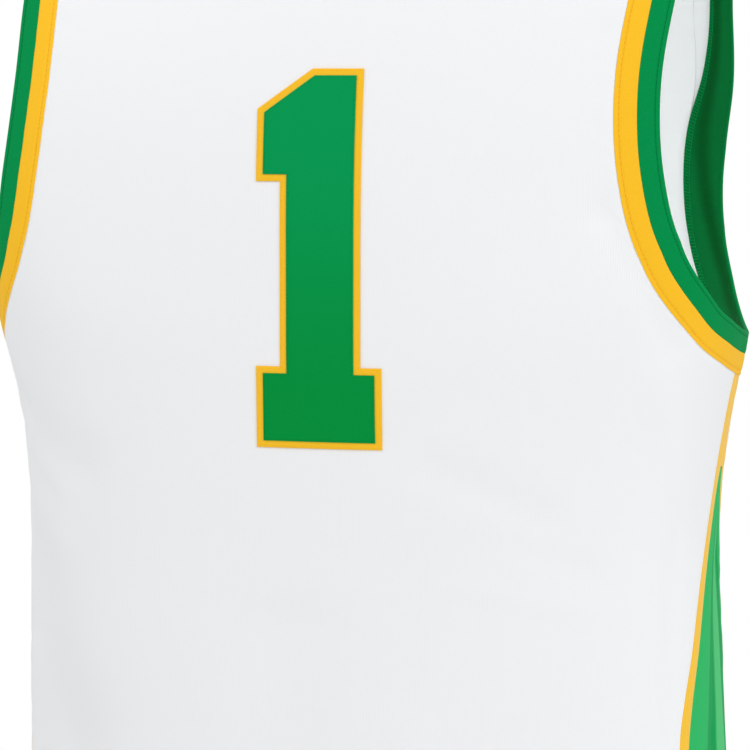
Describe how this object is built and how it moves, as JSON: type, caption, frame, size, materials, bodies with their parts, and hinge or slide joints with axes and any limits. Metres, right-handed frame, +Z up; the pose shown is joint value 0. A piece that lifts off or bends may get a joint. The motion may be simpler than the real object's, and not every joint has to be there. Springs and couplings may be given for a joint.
{
  "type": "garment",
  "caption": "Sleeveless basketball jersey in its worn, hollow form: white knit body, two-colour folded trims, wedge side panels and a block numeral on the back.",
  "frame": {"origin": "on the top of the shoulders, midway between the two points where the shoulder seams meet the neck hole", "axes": "+Z up; +Y the way the wearer faces, so the back with the numeral faces -Y; +X to the wearer's right"},
  "size_m": [0.4439, 0.2465, 0.7602],
  "materials": {
    "white_knit": "matt fine knit",
    "yellow_strip": "matt knit",
    "green_side_knit": "matt knit with tonal stripes",
    "green_trim": "matt rib knit",
    "yellow_trim": "matt rib knit",
    "yellow_twill": "tight twill",
    "green_twill": "tight twill"
  },
  "bodies": {
    "root": {"back_panel": "white_knit", "front_panel": "white_knit", "strip_back_right": "yellow_strip", "strip_back_left": "yellow_strip", "strip_front_right": "yellow_strip", "strip_front_left": "yellow_strip", "side_panel_right": "green_side_knit", "side_panel_left": "green_side_knit", "armhole_band_right": "green_trim", "armhole_stripe_right": "yellow_trim", "armhole_band_left": "green_trim", "armhole_stripe_left": "yellow_trim", "neck_band": "green_trim", "neck_stripe": "yellow_trim", "number_outline": "yellow_twill", "number_face": "green_twill"}
  },
  "joints": []
}
